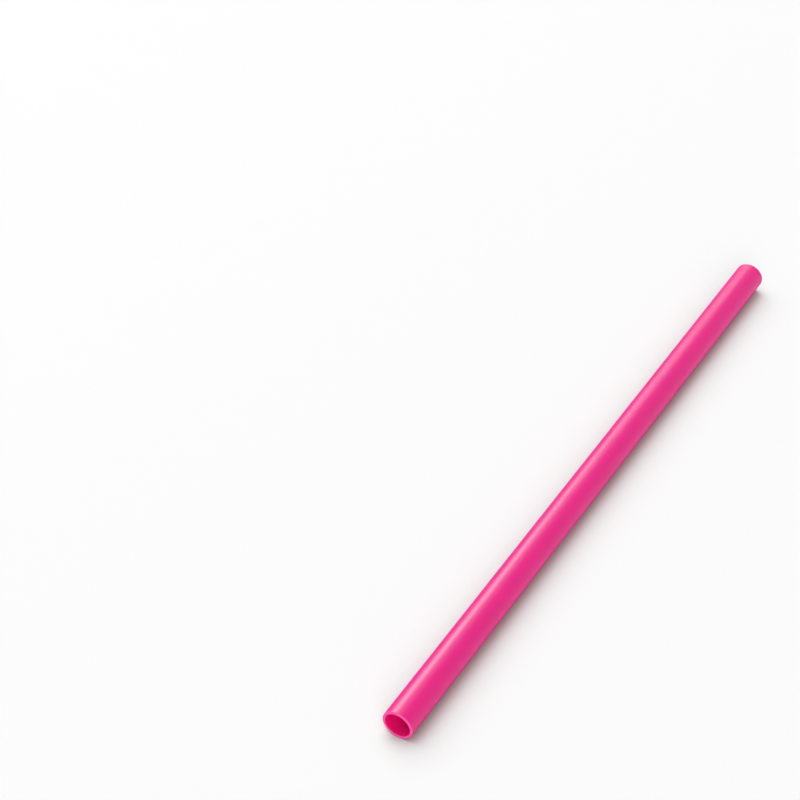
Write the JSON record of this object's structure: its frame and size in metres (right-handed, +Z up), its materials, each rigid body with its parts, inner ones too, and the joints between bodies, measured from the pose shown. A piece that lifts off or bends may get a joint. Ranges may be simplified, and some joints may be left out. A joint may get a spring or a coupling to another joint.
{
  "type": "cellulose drinking straw",
  "caption": "Straight round drinking straw: a thin-walled pink cellulose tube, open and square-cut with softened edges at both ends.",
  "frame": {"origin": "on the surface that the straw lies on, below the middle of its length", "axes": "+X along the straw from its near end to its far end, +Y across it, +Z up from the surface it lies on"},
  "size_m": [0.197, 0.008, 0.008],
  "materials": {
    "dyed_cellulose": "satin-gloss extruded cellulose, dyed pink through the wall"
  },
  "bodies": {
    "root": {"straw_tube": "dyed_cellulose"}
  },
  "joints": []
}
